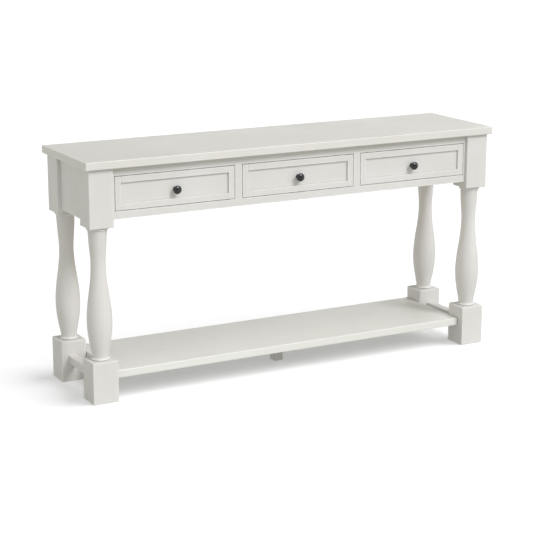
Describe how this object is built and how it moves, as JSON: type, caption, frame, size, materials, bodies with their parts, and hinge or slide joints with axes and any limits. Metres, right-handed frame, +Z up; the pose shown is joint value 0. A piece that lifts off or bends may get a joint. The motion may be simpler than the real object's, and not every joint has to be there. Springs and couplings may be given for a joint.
{
  "type": "console table",
  "caption": "Long narrow painted console table with inset pull-out drawers, turned legs on square foot blocks, and a low shelf.",
  "frame": {"origin": "on the floor under the middle of the table", "axes": "+X along the table to the right as seen from the front, +Y from the drawer side to the back, +Z up; the drawers pull out along -Y"},
  "size_m": [1.48, 0.37, 0.762],
  "materials": {
    "antique_white_paint": "satin antique white paint",
    "antique_white_top_paint": "satin antique white paint, a little greyer on the top and the shelf",
    "drawer_box_wood": "bare, sanded",
    "dark_bronze": "dark bronze, satin",
    "zinc_plated_steel": "zinc plated"
  },
  "bodies": {
    "table_frame": {"top_front_board": "antique_white_top_paint", "top_rear_board": "antique_white_top_paint", "front_left_post": "antique_white_paint", "front_left_leg": "antique_white_paint", "front_left_foot_block": "antique_white_paint", "front_right_post": "antique_white_paint", "front_right_leg": "antique_white_paint", "front_right_foot_block": "antique_white_paint", "rear_left_post": "antique_white_paint", "rear_left_leg": "antique_white_paint", "rear_left_foot_block": "antique_white_paint", "rear_right_post": "antique_white_paint", "rear_right_leg": "antique_white_paint", "rear_right_foot_block": "antique_white_paint", "front_top_rail": "antique_white_paint", "front_bottom_rail": "antique_white_paint", "left_end_stile": "antique_white_paint", "right_end_stile": "antique_white_paint", "drawer_divider_1": "antique_white_paint", "drawer_divider_2": "antique_white_paint", "left_side_panel": "antique_white_paint", "right_side_panel": "antique_white_paint", "back_panel": "antique_white_paint", "middle_runner_1": "drawer_box_wood", "middle_runner_2": "drawer_box_wood", "left_runner": "drawer_box_wood", "right_runner": "drawer_box_wood", "left_stretcher": "antique_white_paint", "right_stretcher": "antique_white_paint", "shelf": "antique_white_top_paint", "front_left_shelf_dowel": "drawer_box_wood", "front_right_shelf_dowel": "drawer_box_wood", "rear_left_shelf_dowel": "drawer_box_wood", "rear_right_shelf_dowel": "drawer_box_wood", "shelf_centre_foot": "antique_white_paint"},
    "left_drawer": {"left_drawer_front_frame": "antique_white_paint", "left_drawer_front_panel": "antique_white_paint", "left_drawer_left_side": "drawer_box_wood", "left_drawer_right_side": "drawer_box_wood", "left_drawer_back": "drawer_box_wood", "left_drawer_bottom": "drawer_box_wood", "left_drawer_knob": "dark_bronze", "left_drawer_knob_screw": "zinc_plated_steel"},
    "middle_drawer": {"middle_drawer_front_frame": "antique_white_paint", "middle_drawer_front_panel": "antique_white_paint", "middle_drawer_left_side": "drawer_box_wood", "middle_drawer_right_side": "drawer_box_wood", "middle_drawer_back": "drawer_box_wood", "middle_drawer_bottom": "drawer_box_wood", "middle_drawer_knob": "dark_bronze", "middle_drawer_knob_screw": "zinc_plated_steel"},
    "right_drawer": {"right_drawer_front_frame": "antique_white_paint", "right_drawer_front_panel": "antique_white_paint", "right_drawer_left_side": "drawer_box_wood", "right_drawer_right_side": "drawer_box_wood", "right_drawer_back": "drawer_box_wood", "right_drawer_bottom": "drawer_box_wood", "right_drawer_knob": "dark_bronze", "right_drawer_knob_screw": "zinc_plated_steel"}
  },
  "joints": [
    {"name": "left_drawer_slide", "type": "slide", "parent": "table_frame", "child": "left_drawer", "axis": [0, -1, 0], "range_m": [0, 0.22]},
    {"name": "middle_drawer_slide", "type": "slide", "parent": "table_frame", "child": "middle_drawer", "axis": [0, -1, 0], "range_m": [0, 0.22]},
    {"name": "right_drawer_slide", "type": "slide", "parent": "table_frame", "child": "right_drawer", "axis": [0, -1, 0], "range_m": [0, 0.22]}
  ]
}
